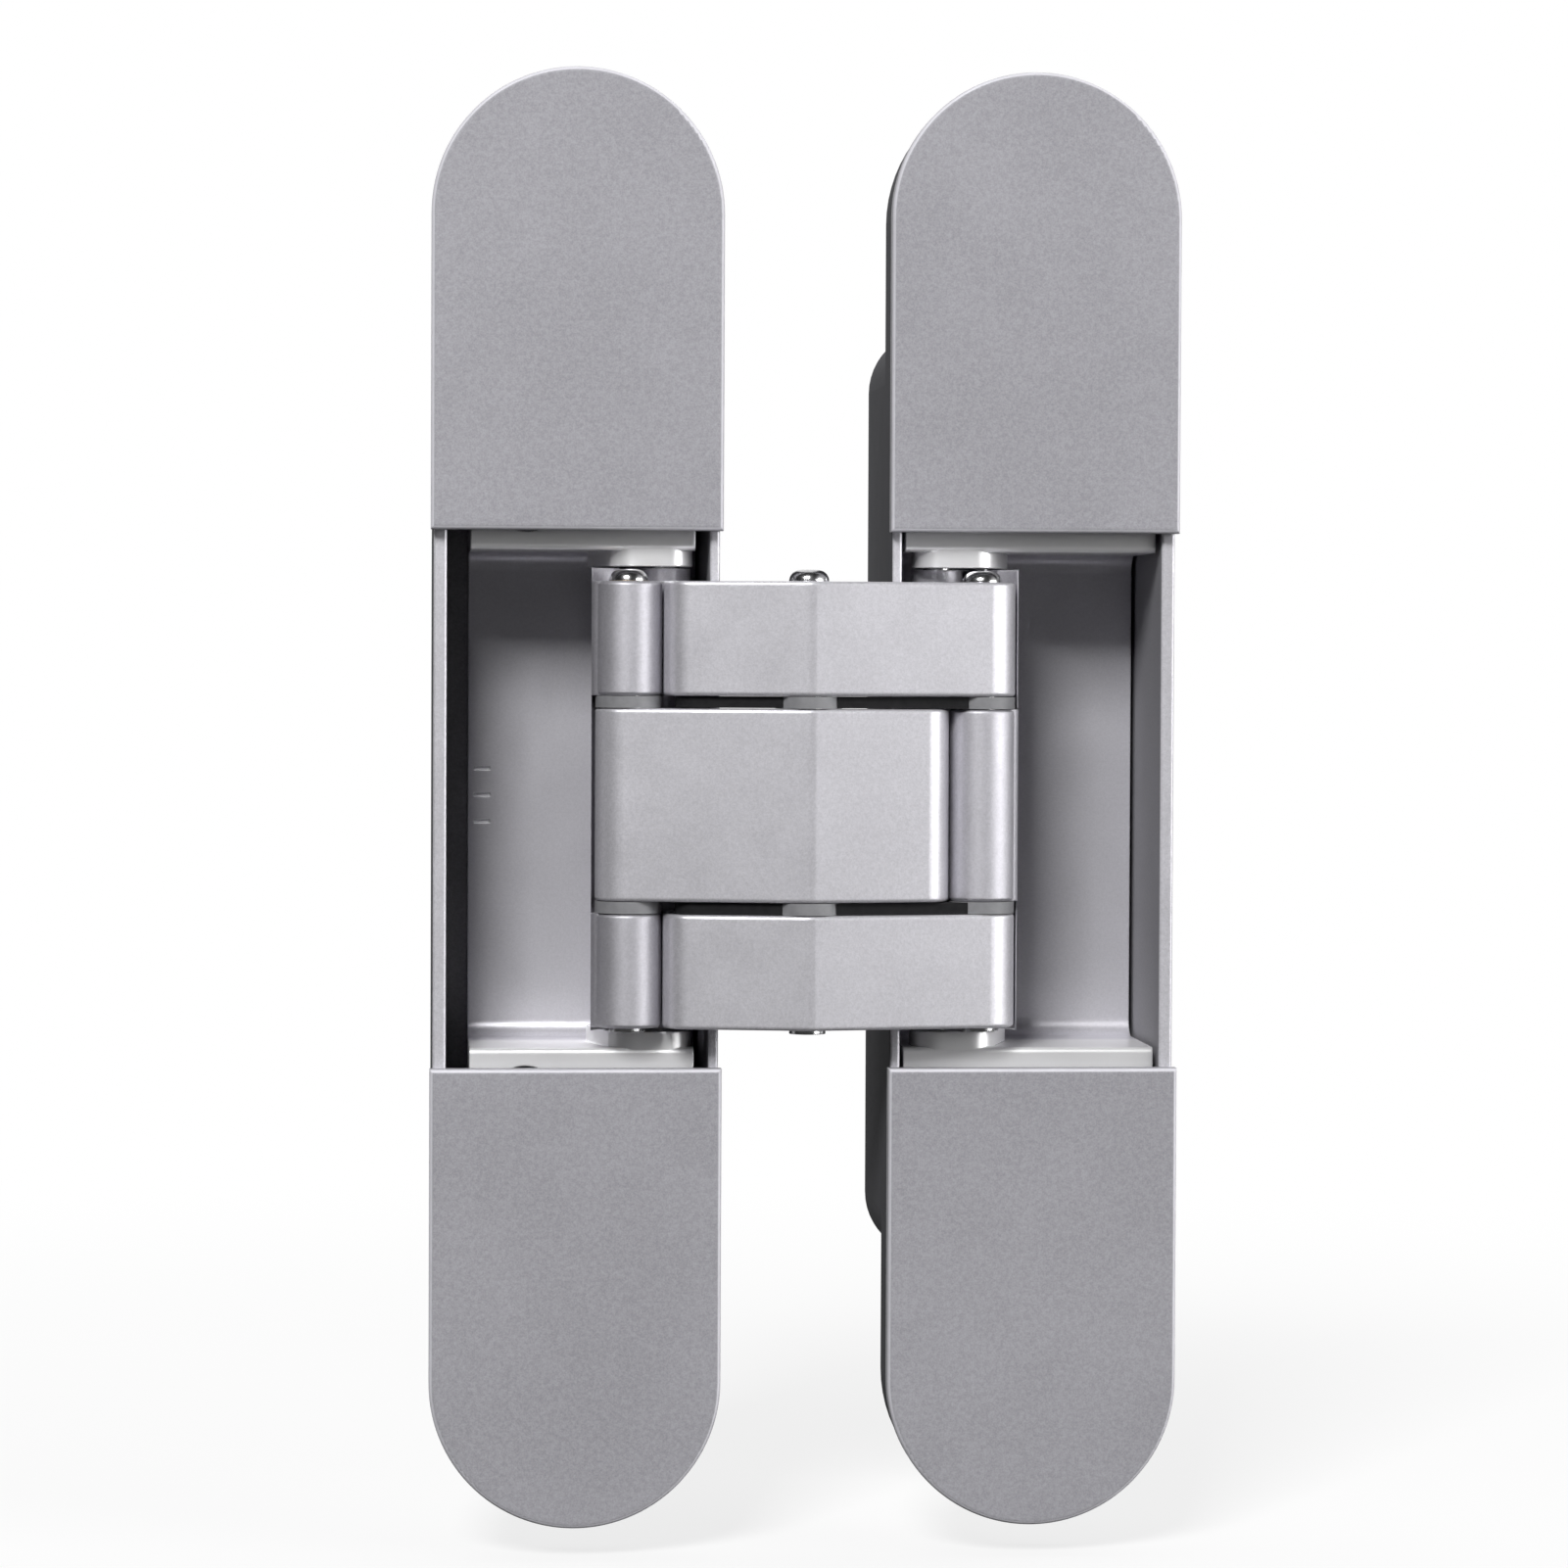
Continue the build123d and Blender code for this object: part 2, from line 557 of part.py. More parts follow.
def eccentric(end):
    """Eccentric that pushes the slide plate: keyed head, offset disc and journal in the housing floor."""
    height = end * ADJUST_Z
    head_front = PLATE_FRONT - RUN_CLEARANCE - ECCENTRIC_HEAD
    body = rod(ECCENTRIC_OUT, height, ECCENTRIC_R, head_front, PLATE_FRONT - RUN_CLEARANCE)
    rim = body.faces().sort_by(Axis.Y)[0]
    body = fillet(rim.edges(), COVER_EDGE)
    lobe = height - end * ECCENTRIC_THROW
    body += rod(ECCENTRIC_OUT, lobe, ECCENTRIC_R, PLATE_FRONT - RUN_CLEARANCE, PLATE_REAR)
    body += rod(ECCENTRIC_OUT, height, ECCENTRIC_JOURNAL_R, PLATE_REAR, ECCENTRIC_FOOT)
    return body - hex_socket(ECCENTRIC_OUT, height, head_front)


def depth_screw(end):
    """Threaded adjuster of the door leaf: key socket in front, journal riveted into the housing floor."""
    height = end * DEPTH_SCREW_Z
    shoulder = FLOOR_DEPTH - RUN_CLEARANCE
    body = rod(CAVITY_MIDDLE, height, DEPTH_SCREW_R, DEPTH_SCREW_FRONT, shoulder)
    rim = body.faces().sort_by(Axis.Y)[0]
    body = chamfer(rim.edges(), COVER_EDGE)
    body += rod(CAVITY_MIDDLE, height, DEPTH_JOURNAL_R, shoulder, DEPTH_RIVET_BACK)
    body += rod(CAVITY_MIDDLE, height, DEPTH_RIVET_R, DEPTH_RIVET_FRONT, DEPTH_RIVET_BACK)
    return other_leaf(body - hex_socket(CAVITY_MIDDLE, height, DEPTH_SCREW_FRONT))


# All pieces, by name
pieces = {
    "frame_housing": frame_housing(),
    "frame_upper_cover": cover(1),
    "frame_lower_cover": cover(-1),
    "slide_screws": Compound(
        children=[cap_screw(SLIDE_SCREW_OUT, end * ADJUST_Z, PLATE_FRONT, ECCENTRIC_FOOT) for end in (1, -1)]
    ),
    "slide_plate": slide_plate(),
    "clamp_screws": Compound(
        children=[cap_screw(CLAMP_OUT, end * CLAMP_Z, CLAMP_SEAT, PLATE_REAR) for end in (1, -1)]
    ),
    "upper_eccentric": eccentric(1),
    "lower_eccentric": eccentric(-1),
    "frame_carrier": frame_carrier(),
    "frame_arm_pin": plain_pin(ARM_PIVOT, ARM_PIN_R),
    "fork_arm": fork_arm(),
    "centre_pin": domed_pin(CENTRE_PIVOT),
    "centre_washers": washers(CENTRE_PIVOT),
    "door_joint_pin": domed_pin(FAR_PIVOT),
    "door_joint_washers": washers(FAR_PIVOT),
    "glide_pads": glide_pads(),
    "blade_arm": blade_arm(),
    "centre_bush": bush(CENTRE_PIVOT, -MIDDLE_ARM_HALF, MIDDLE_ARM_HALF),
    "frame_joint_pin": domed_pin(JOINT_PIVOT),
    "frame_joint_washers": washers(JOINT_PIVOT),
    "frame_link": frame_link(),
    "frame_link_pin": plain_pin(LINK_END, LINK_PIN_R),
    "frame_link_bushes": Compound(
        children=[bush(JOINT_PIVOT, low, high) for low, high in both(OUTER_ARM_LOW, OUTER_ARM_HIGH)]
    ),
    "door_link": door_link(),
    "door_link_pin": other_leaf(plain_pin(LINK_END, LINK_PIN_R)),
    "door_link_bush": bush(FAR_PIVOT, -MIDDLE_ARM_HALF, MIDDLE_ARM_HALF),
    "door_carrier": door_carrier(),
    "door_arm_pin": other_leaf(plain_pin(ARM_PIVOT, ARM_PIN_R)),
    "door_housing": door_housing(),
    "door_upper_cover": other_leaf(cover(1)),
    "door_lower_cover": other_leaf(cover(-1)),
    "upper_depth_screw": depth_screw(1),
    "lower_depth_screw": depth_screw(-1),
}

os.makedirs("parts", exist_ok=True)
for name, piece in pieces.items():
    export_step(Pos(*ORIGIN_SHIFT) * piece, f"parts/{name}.step")
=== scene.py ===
import math

import bpy
from mathutils import Matrix, Vector


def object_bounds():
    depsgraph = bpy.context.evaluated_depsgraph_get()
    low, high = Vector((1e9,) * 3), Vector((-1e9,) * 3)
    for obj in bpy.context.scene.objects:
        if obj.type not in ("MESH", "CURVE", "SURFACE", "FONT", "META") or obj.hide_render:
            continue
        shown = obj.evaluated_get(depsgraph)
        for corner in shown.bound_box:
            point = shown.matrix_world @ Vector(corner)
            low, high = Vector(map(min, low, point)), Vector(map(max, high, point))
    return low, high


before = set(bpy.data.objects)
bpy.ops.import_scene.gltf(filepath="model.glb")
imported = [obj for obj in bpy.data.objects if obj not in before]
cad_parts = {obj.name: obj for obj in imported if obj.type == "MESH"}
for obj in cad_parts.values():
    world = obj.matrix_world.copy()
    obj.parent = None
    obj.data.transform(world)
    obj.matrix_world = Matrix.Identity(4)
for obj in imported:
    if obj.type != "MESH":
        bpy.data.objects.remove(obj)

cad_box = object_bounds()

# Frame leaf housing. A deep die-cast zinc box behind a shallow round-ended flange, screwed into the door
# frame. Its front is sprayed with a satin pearl-nickel lacquer that is thinner on the walls of the pocket.
# The spray doesn't reach the sides and the back, which stay dark bare casting.
PEARL_NICKEL = (0.70, 0.69, 0.73)
BARE_CASTING = (0.10, 0.10, 0.108)
BARE_METALLIC = 0.05
BARE_DULLNESS = 0.5  # roughness of the bare casting beyond that of the lacquer
LACQUER_SPECULAR = 0.3
BARE_SPECULAR = 0.1

LEAF_SPACING = 0.0504  # metres from the middle of one leaf to the middle of the other
LEAF_GAP = 0.001  # half the width of the strip where one leaf's middle gives way to the other's
POCKET_END = 0.0525  # metres from the middle of a leaf up or down to the end of its pocket
POCKET_FADE = 0.0002
WALL_NEAREST, WALL_CLEAR = 0.001, 0.003  # metres from a leaf's middle at which a wall starts to count
POCKET_COAT = 0.32  # share of the lacquer that reaches the pocket's walls

LACQUER_EDGE = 0.00028  # metres over which an edge is rounded and lightened by wear and painted highlight
LACQUER_GRAIN = 0.00006  # metres of height in the grain
LEAST_SPREAD, GRAIN_SPREAD = 0.03, 0.42  # how far the tone strays, at least and with the grain
FLAKE_SHARE, MOTTLE_SHARE, CLOUD_SHARE = 0.5, 0.3, 0.2  # parts that they have in the tone
PEEL_HEIGHT, FLAKE_HEIGHT = 0.7, 0.3  # parts that they have in the grain
LEAST_WEAR_AND_HIGHLIGHT, SMUDGED_WEAR_AND_HIGHLIGHT = 0.35, 0.5  # how far an edge is lightened by wear and painted highlight, everywhere and under smudges
LEAST_RIM_HIGHLIGHT, SMUDGED_RIM_HIGHLIGHT = 0.7, 0.6  # the same for the painted highlight along the rounded front edge
LIT_FRONT_FADE, LIT_FRONT_SHARE = 0.002, 0.85  # metres over which the painted light on the front fades, and how strong it is
SMUDGE_GLOSS, FLAKE_GLOSS, WORN_GLOSS = 0.14, 0.10, 0.10  # changes of roughness
MEAN_NOISE = 0.5


class Value:
    """A shader socket that takes part in Python arithmetic."""

    def __init__(self, tree, socket):
        self.tree = tree
        self.socket = socket

    def node(self, kind, settings=None, output=0, **inputs):
        """Adds any node: its settings first, then the values or links of its sockets, by name or number."""
        made = self.tree.nodes.new(kind)
        for name, setting in (settings or {}).items():
            setattr(made, name, setting)
        for name, given in inputs.items():
            key = int(name[1:]) if name[0] == "n" and name[1:].isdigit() else name.replace("_", " ")
            if isinstance(given, Value):
                self.tree.links.new(given.socket, made.inputs[key])
            else:
                made.inputs[key].default_value = given
        return Value(self.tree, made.outputs[output])

    def maths(self, operation, first, second):
        return self.node("ShaderNodeMath", {"operation": operation}, n0=first, n1=second)

    def __add__(self, other):
        return self.maths("ADD", self, other)

    def __radd__(self, other):
        return self.maths("ADD", other, self)

    def __sub__(self, other):
        return self.maths("SUBTRACT", self, other)

    def __rsub__(self, other):
        return self.maths("SUBTRACT", other, self)

    def __mul__(self, other):
        return self.maths("MULTIPLY", self, other)

    def __rmul__(self, other):
        return self.maths("MULTIPLY", other, self)

    def __abs__(self):
        return self.node("ShaderNodeMath", {"operation": "ABSOLUTE"}, n0=self)

    def step(self, low, high):
        """0 below low, 1 above high, smooth between them."""
        return self.node(
            "ShaderNodeMapRange", {"interpolation_type": "SMOOTHSTEP", "clamp": True},
            Value=self, From_Min=low, From_Max=high, To_Min=0.0, To_Max=1.0,
        )

    def blend(self, first, second):
        """A colour from first to second, by this factor."""
        return self.node("ShaderNodeMixRGB", {"blend_type": "MIX"}, Fac=self, Color1=first, Color2=second)

    def along(self, axis):
        """The part of a vector along X, Y or Z."""
        return self.node("ShaderNodeSeparateXYZ", output=axis, Vector=self)

    def noise(self, scale, detail, roughness=0.5):
        """Noise from 0 to 1 over this place."""
        return self.node("ShaderNodeTexNoise", Vector=self, Scale=scale, Detail=detail, Roughness=roughness)


def new_material(name, metallic, specular):
    """An empty principled material; gives the shader and the object coordinates."""
    made = bpy.data.materials.new(name)
    made.use_nodes = True
    shader = made.node_tree.nodes["Principled BSDF"]
    shader.inputs["Metallic"].default_value = metallic
    shader.inputs["Specular IOR Level"].default_value = specular
    place = Value(made.node_tree, made.node_tree.nodes.new("ShaderNodeTexCoord").outputs["Object"])
    return made, shader, place


def feed(shader, **values):
    """Links values to the sockets of a shader."""
    for name, given in values.items():
        given.tree.links.new(given.socket, shader.inputs[name.replace("_", " ")])


def tinted(colour, gain=1.0, lift=0.0):
    """A colour made lighter or darker, with the fourth number that a colour socket takes."""
    return (*(min(1.0, channel * gain + lift) for channel in colour), 1.0)


def edge_mask(place, radius):
    """1 along the sharp edges of a piece and 0 on its faces, with the rounded normal beside it."""
    rounded = place.node("ShaderNodeBevel", {"samples": 6}, Radius=radius)
    straight = place.node("ShaderNodeNewGeometry", output="True Normal")
    agreement = place.node(
        "ShaderNodeVectorMath", {"operation": "DOT_PRODUCT"}, output="Value", n0=rounded, n1=straight
    )
    return (1.0 - agreement).step(0.01, 0.22), rounded


def pocket_mask(place, facing):
    """1 on the walls of the two leaves' pockets, which face the middle of their leaf, and 0 on the rest."""
    across, up = place.along("X"), place.along("Z")
    halfway = LEAF_SPACING / 2
    aside = across - across.step(halfway - LEAF_GAP, halfway + LEAF_GAP) * LEAF_SPACING
    inward = 0.0 - (facing.along("X") * aside + facing.along("Z") * up)
    between_ends = 1.0 - abs(up).step(POCKET_END - POCKET_FADE, POCKET_END + POCKET_FADE)
    return inward.step(WALL_NEAREST, WALL_CLEAR) * between_ends


def satin_lacquer(name, colour, rough, grain, metallic=0.45, rim_highlight=0.0, lit_front=None, raw=None):
    """Pearl-nickel lacquer on cast zinc, with flake, clouds, and edges lightened by wear and painted
    highlight.

    A painted highlight can be laid along the rounded front edge, and painted light on the metal in front of a
    given depth; raw is the bare casting on the faces that the spray doesn't reach.
    """
    made, shader, place = new_material(name, metallic, BARE_SPECULAR if raw else LACQUER_SPECULAR)
    facing = place.node("ShaderNodeTexCoord", output="Normal")
    forward = 0.0 - facing.along("Y")
    flake = place.noise(scale=5200.0, detail=2.0, roughness=0.6)
    mottle = place.noise(scale=2400.0, detail=2.0)
    orange_peel = place.noise(scale=1500.0, detail=3.0, roughness=0.55)
    smudge = place.noise(scale=210.0, detail=5.0, roughness=0.65)
    cloud = place.noise(scale=55.0, detail=4.0, roughness=0.55)
    edge_wear_and_highlight, rounded = edge_mask(place, LACQUER_EDGE)

    spread = LEAST_SPREAD + grain * GRAIN_SPREAD
    speckle = flake.step(0.25, 0.75) * FLAKE_SHARE + mottle.step(0.3, 0.7) * MOTTLE_SHARE
    speckle = speckle + cloud.step(0.3, 0.7) * CLOUD_SHARE
    tone = speckle.blend(tinted(colour, gain=1.0 - spread), tinted(colour, gain=1.0 + spread))
    # The edges are lightened partly by wear and partly by a painted highlight, in a light tone that the
    # painted light on the front uses too.
    wear_and_highlight_tone = tinted(colour, gain=1.45, lift=0.06)
    tone = (edge_wear_and_highlight * (LEAST_WEAR_AND_HIGHLIGHT + smudge * SMUDGED_WEAR_AND_HIGHLIGHT)).blend(tone, wear_and_highlight_tone)
    gloss = rough + (smudge - MEAN_NOISE) * SMUDGE_GLOSS + (flake - MEAN_NOISE) * FLAKE_GLOSS
    gloss = gloss - edge_wear_and_highlight * WORN_GLOSS

    # Painted highlight along the rounded front edge, where the face turns away from the front.
    if rim_highlight:
        turned = forward.step(0.15, 0.5) * (1.0 - forward.step(0.88, 0.99))
        rim_highlight_tone = tinted(colour, gain=1.8, lift=0.14)
        tone = (turned * (LEAST_RIM_HIGHLIGHT + smudge * SMUDGED_RIM_HIGHLIGHT) * rim_highlight).blend(tone, rim_highlight_tone)
    # Painted light: the faces in front of the given depth take the light tone of the edges.
    if lit_front is not None:
        near = 1.0 - place.along("Y").step(lit_front - LIT_FRONT_FADE, lit_front + LIT_FRONT_FADE)
        tone = (near * LIT_FRONT_SHARE).blend(tone, wear_and_highlight_tone)
    if raw:
        front = forward.step(0.3, 0.7)
        coat = front + (1.0 - front) * pocket_mask(place, facing) * POCKET_COAT
        casting = smudge.blend(tinted(raw, gain=0.65), tinted(raw))
        tone = coat.blend(casting, tone)
        gloss = gloss + (1.0 - coat) * BARE_DULLNESS
        feed(shader, Metallic=BARE_METALLIC + coat * (metallic - BARE_METALLIC))
    relief = orange_peel * PEEL_HEIGHT + flake * FLAKE_HEIGHT
    skin = place.node("ShaderNodeBump", Strength=grain, Distance=LACQUER_GRAIN, Height=relief, Normal=rounded)
    feed(shader, Base_Color=tone, Roughness=gloss, Normal=skin)
    return made


def finish_nodes(finish, *names):
    """Gives CAD pieces their finish."""
    for name in names:
        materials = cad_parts[name].data.materials
        materials.clear()
        materials.append(finish)


housing_lacquer = satin_lacquer("housing_lacquer", PEARL_NICKEL, rough=0.40, grain=0.25, raw=BARE_CASTING)
finish_nodes(housing_lacquer, "frame_housing")

# Slide plate on the pocket's floor, with its screws and eccentrics. The plate is a bare zinc casting, held
# by two screws and pushed sideways by the eccentrics. These are of turned steel, zinc plated, and keep the
# fine rings of the lathe; two more such screws clamp the carrier to the plate.
ZINC_GREY = (0.44, 0.435, 0.465)
ZINC_PLATING = (0.52, 0.52, 0.53)
# A painted highlight along the edges of the steel.
EDGE_HIGHLIGHT_TONE = (0.9, 0.9, 0.9, 1.0)
EDGE_HIGHLIGHT_SHARE = 0.6
STEEL_EDGE = 0.00018  # metres over which an edge gets a painted highlight
LATHE_GRAIN = 0.00003  # metres of height in the rings
SCUFF_GLOSS, LATHE_GLOSS = 0.18, 0.12  # changes of roughness


def bright_steel(name, colour, rough, rings):
    """Plated or turned steel: fine rings from the lathe, small scuffs and a painted highlight along the
    edges.
    """
    made, shader, place = new_material(name, metallic=1.0, specular=0.5)
    lathe = place.noise(scale=rings, detail=2.0, roughness=0.7)
    scuff = place.noise(scale=700.0, detail=5.0, roughness=0.7)
    edge_wear_and_highlight, rounded = edge_mask(place, STEEL_EDGE)
    tone = scuff.step(0.3, 0.7).blend(tinted(colour, gain=0.8), tinted(colour, gain=1.15))
    # Painted highlight along the edges of the steel.
    tone = (edge_wear_and_highlight * EDGE_HIGHLIGHT_SHARE).blend(tone, EDGE_HIGHLIGHT_TONE)
    gloss = rough + (scuff - MEAN_NOISE) * SCUFF_GLOSS + (lathe - MEAN_NOISE) * LATHE_GLOSS
    skin = place.node(
        "ShaderNodeBump", Strength=0.2, Distance=LATHE_GRAIN, Height=lathe + scuff, Normal=rounded
    )
    feed(shader, Base_Color=tone, Roughness=gloss, Normal=skin)
    return made


bare_zinc = satin_lacquer("bare_zinc", ZINC_GREY, rough=0.34, grain=0.2)
plated_steel = bright_steel("plated_steel", ZINC_PLATING, rough=0.3, rings=2600.0)
finish_nodes(bare_zinc, "slide_plate")
finish_nodes(plated_steel, "slide_screws", "clamp_screws", "upper_eccentric", "lower_eccentric")

# Carriers of the linkage. C-shaped zinc castings that hold the pivots, lacquered more smoothly than the
# housings, with painted light on their fronts. The frame's one is clamped to the slide plate and has the
# height scale pressed in, and the door's one rides on the depth screws.
LIT_FRONT_DEPTH = 0.004  # metres on the depth axis, in front of which painted light lightens the casting
carrier_plate = satin_lacquer(
    "carrier_plate", PEARL_NICKEL, rough=0.34, grain=0.10, metallic=0.55, lit_front=LIT_FRONT_DEPTH
)
finish_nodes(carrier_plate, "frame_carrier", "door_carrier")

# Fork arm and blade arm. Zinc castings with a creased front that cross on the centre pin, tumbled and then
# lacquered as the covers are, but lighter and smoother, with edges lightened by wear and painted highlight.
arm_lacquer = satin_lacquer("arm_lacquer", PEARL_NICKEL, rough=0.42, grain=0.22, metallic=0.6)
finish_nodes(arm_lacquer, "fork_arm", "blade_arm")

# Links that steer the arms. Zinc castings in a darker, more metallic coat of the arms' lacquer, hidden in the
# pockets but for their round knuckles. Each turns on two pins, one in its carrier, one in the end of an arm.
DARK_NICKEL = (0.62, 0.61, 0.65)
link_lacquer = satin_lacquer("link_lacquer", DARK_NICKEL, rough=0.54, grain=0.2, metallic=0.85)
finish_nodes(link_lacquer, "frame_link", "door_link")

# Pivot pins. Steel, turned and left bright. The three at the front have a domed head at the top and are
# riveted below, and the four hidden ones are plain and sit in the carriers.
TURNED_STEEL = (0.66, 0.66, 0.67)
pin_steel = bright_steel("pin_steel", TURNED_STEEL, rough=0.2, rings=1800.0)
finish_nodes(
    pin_steel, "centre_pin", "frame_joint_pin", "door_joint_pin",
    "frame_arm_pin", "door_arm_pin", "frame_link_pin", "door_link_pin",
)

# Bushes, thrust washers and glide pads. The bushes are sintered bronze with open pores; the washers are cut
# from grey acetal sheet and sit in the gaps between the arms, with black acetal pads beside them.
BROWN_BRONZE, GOLD_BRONZE = (0.40, 0.28, 0.14, 1.0), (0.60, 0.45, 0.26, 1.0)
PORE_BROWN = (0.12, 0.08, 0.05, 1.0)
PORE_DEPTH = 0.00005
BRONZE_ROUGH, BRONZE_UNEVEN = 0.42, 0.2
SLATE, ASH = (0.19, 0.19, 0.20, 1.0), (0.27, 0.27, 0.28, 1.0)
SOOT, COAL = (0.008, 0.008, 0.009, 1.0), (0.02, 0.02, 0.021, 1.0)
DRAG_DEPTH = 0.00004
ACETAL_ROUGH, ACETAL_UNEVEN = 0.38, 0.2


def sintered_bronze(name):
    """Pressed bronze powder: brown-gold, dull, full of dark pores."""
    made, shader, place = new_material(name, metallic=0.9, specular=0.4)
    pores = place.node("ShaderNodeTexVoronoi", {"feature": "F1"}, Vector=place, Scale=3800.0)
    tint = place.noise(scale=400.0, detail=4.0)
    tone = tint.blend(BROWN_BRONZE, GOLD_BRONZE)
    tone = (1.0 - pores.step(0.05, 0.3)).blend(tone, PORE_BROWN)
    skin = place.node("ShaderNodeBump", Strength=0.3, Distance=PORE_DEPTH, Height=pores)
    feed(shader, Base_Color=tone, Roughness=BRONZE_ROUGH + tint * BRONZE_UNEVEN, Normal=skin)
    return made


def acetal(name, deep, light, specular):
    """Cut acetal sheet with a faint drag pattern."""
    made, shader, place = new_material(name, metallic=0.0, specular=specular)
    drag = place.noise(scale=1200.0, detail=3.0)
    tone = drag.blend(deep, light)
    skin = place.node("ShaderNodeBump", Strength=0.15, Distance=DRAG_DEPTH, Height=drag)
    feed(shader, Base_Color=tone, Roughness=ACETAL_ROUGH + drag * ACETAL_UNEVEN, Normal=skin)
    return made


bush_bronze = sintered_bronze("bush_bronze")
washer_acetal = acetal("washer_acetal", SLATE, ASH, specular=0.4)
pad_acetal = acetal("pad_acetal", SOOT, COAL, specular=0.1)
finish_nodes(bush_bronze, "centre_bush", "frame_link_bushes", "door_link_bush")
finish_nodes(washer_acetal, "centre_washers", "frame_joint_washers", "door_joint_washers")
finish_nodes(pad_acetal, "glide_pads")

# Door leaf housing and its depth screws. The housing is the frame's casting turned round, in the same
# lacquer; the screws are plated steel, riveted into the bottom of the box.
finish_nodes(housing_lacquer, "door_housing")
finish_nodes(plated_steel, "upper_depth_screw", "lower_depth_screw")

# Covers. Flat zinc plates with a rounded front edge, clipped over the fixing screws. Their lacquer is the
# greyest and grainiest of the hinge, with a painted highlight along the rounded edge.
COVER_GREY = (0.36, 0.355, 0.382)
cover_lacquer = satin_lacquer("cover_lacquer", COVER_GREY, rough=0.60, grain=0.4, metallic=0.2, rim_highlight=0.8)
finish_nodes(
    cover_lacquer, "frame_upper_cover", "frame_lower_cover", "door_upper_cover", "door_lower_cover"
)

# Studio. A white sheet under and behind the hinge that keeps its shadow; the room in front is dark, as in the
# photograph, with one soft lamp above on the left and a wide one at the right.
FLOOR_WIDTH = 12.0
FLOOR_DROP = 0.0034  # metres: the height setting's 3 mm, with a little air under the door leaf
WHITE = (1.0, 1.0, 1.0, 1.0)
SHEET_WHITE, SHEET_GREY = (0.9, 0.9, 0.9, 1.0), (0.05, 0.05, 0.05, 1.0)
SHADOW_SHARE = 0.25  # part of the sheet near the hinge that takes its shadow
WALL_LEVEL = 0.025
RIGHT_WALL_LEVEL = 0.5
HINGE_MIDDLE = (0.03, 0.0, 0.0)


def background_rays(tree):
    """The rays that see the white background straight or through a piece, and those that a piece mirrors."""
    path = tree.nodes.new("ShaderNodeLightPath")
    camera_ray, clear_ray, mirror_ray = (
        Value(tree, path.outputs[f"Is {kind} Ray"]) for kind in ("Camera", "Transmission", "Glossy")
    )
    return camera_ray + clear_ray, mirror_ray


bpy.ops.object.select_all(action="DESELECT")
bpy.ops.mesh.primitive_plane_add(size=FLOOR_WIDTH, location=(0.0, 0.0, cad_box[0][2] - FLOOR_DROP))
floor = bpy.context.object
floor.name = "studio_floor"
floor_paint = bpy.data.materials.new("floor_paint")
floor_paint.use_nodes = True
sheet_tree = floor_paint.node_tree
sheet_tree.nodes.remove(sheet_tree.nodes["Principled BSDF"])
direct, mirrored = background_rays(sheet_tree)
spot = Value(sheet_tree, sheet_tree.nodes.new("ShaderNodeTexCoord").outputs["Object"])
seen = direct + mirrored * spot.along("Y").step(0.0, 0.1)
paper = seen.node("ShaderNodeBsdfDiffuse", Color=seen.blend(SHEET_GREY, SHEET_WHITE))
glow = seen.node("ShaderNodeEmission", Color=WHITE, Strength=1.0)
distance = spot.node("ShaderNodeVectorMath", {"operation": "LENGTH"}, output="Value", n0=spot)
plain_white = seen * (1.0 - SHADOW_SHARE + distance.step(0.05, 0.4) * SHADOW_SHARE)
sheet = seen.node("ShaderNodeMixShader", n0=plain_white, n1=paper, n2=glow)
sheet_tree.links.new(sheet.socket, sheet_tree.nodes["Material Output"].inputs["Surface"])
floor.data.materials.append(floor_paint)

room = bpy.data.worlds.new("white_room")
room.use_nodes = True
bpy.context.scene.world = room
room_tree = room.node_tree
direct, mirrored = background_rays(room_tree)
heading = Value(room_tree, room_tree.nodes.new("ShaderNodeTexCoord").outputs["Generated"])
walls = WALL_LEVEL + heading.along("X").step(0.5, 0.9) * RIGHT_WALL_LEVEL
backdrop = heading.along("Y").step(0.0, 0.5)
level = walls * (1.0 - backdrop) + backdrop
seen = direct + mirrored * backdrop
room_light = room_tree.nodes["Background"]
room_light.inputs["Color"].default_value = WHITE
feed(room_light, Strength=seen + (1.0 - seen) * level)


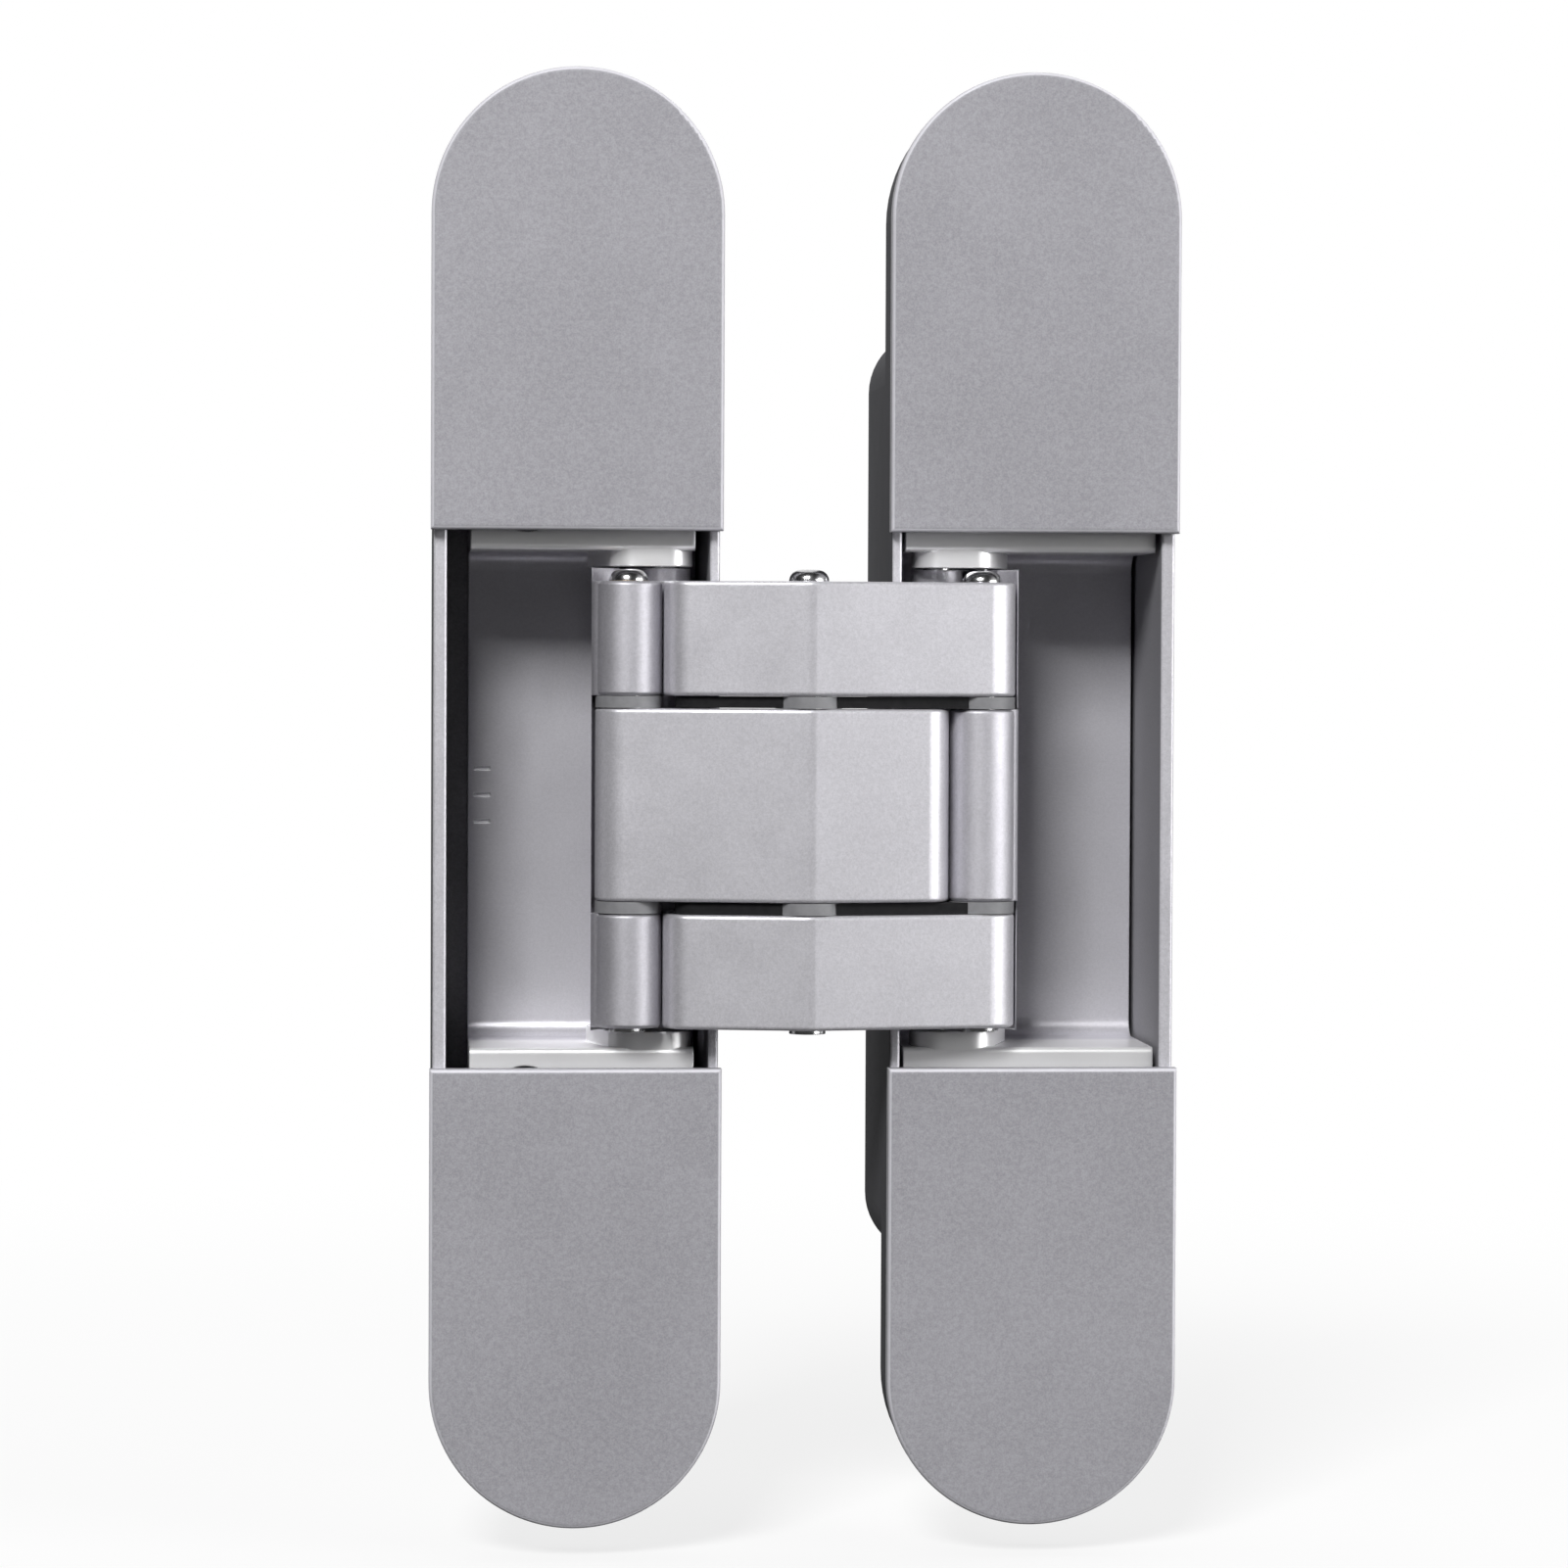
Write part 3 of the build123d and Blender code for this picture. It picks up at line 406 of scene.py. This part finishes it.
def soft_lamp(name, place, width, height, power):
    """A rectangular softbox that looks at the middle of the hinge."""
    data = bpy.data.lights.new(name, "AREA")
    data.shape = "RECTANGLE"
    data.size = width
    data.size_y = height
    data.energy = power
    lamp = bpy.data.objects.new(name, data)
    bpy.context.scene.collection.objects.link(lamp)
    lamp.location = place
    lamp.rotation_euler = (Vector(HINGE_MIDDLE) - Vector(place)).to_track_quat("-Z", "Y").to_euler()


soft_lamp("right_softbox", (1.33, -0.75, 0.0), width=1.0, height=1.1, power=22.0)
soft_lamp("top_softbox", (-0.41, -1.22, 0.94), width=0.45, height=0.45, power=24.0)

# Camera at the photograph's view: nearly straight on, a little from the left and above. Its lens follows from
# the number of the photograph's pixels to a metre of the hinge.
VIEW_TURN = math.radians(-4.4)
VIEW_RISE = math.radians(1.4)
VIEW_ROLL = math.radians(0.25)
VIEW_DISTANCE = 0.55
VIEW_AIM = Vector((LEAF_SPACING / 2 - 0.0025, -0.011, 0.0018))
PHOTO_PIXELS = 1601
PIXELS_PER_METRE = 9313.0
SENSOR_WIDTH = 36.0
NEAREST, FARTHEST = 0.01, 50.0
back = Vector((
    math.sin(VIEW_TURN) * math.cos(VIEW_RISE), -math.cos(VIEW_TURN) * math.cos(VIEW_RISE), math.sin(VIEW_RISE)
))
camera_data = bpy.data.cameras.new("photo_camera")
camera_data.sensor_fit = "HORIZONTAL"
camera_data.sensor_width = SENSOR_WIDTH
camera_data.lens = SENSOR_WIDTH * VIEW_DISTANCE * PIXELS_PER_METRE / PHOTO_PIXELS
camera_data.clip_start = NEAREST
camera_data.clip_end = FARTHEST
camera = bpy.data.objects.new("photo_camera", camera_data)
bpy.context.scene.collection.objects.link(camera)
turn = (-back).to_track_quat("-Z", "Y").to_matrix().to_4x4()
stand = Matrix.Translation(VIEW_AIM + back * VIEW_DISTANCE)
camera.matrix_world = stand @ turn @ Matrix.Rotation(VIEW_ROLL, 4, "Z")
bpy.context.scene.camera = camera
bpy.context.scene.view_settings.view_transform = "Standard"
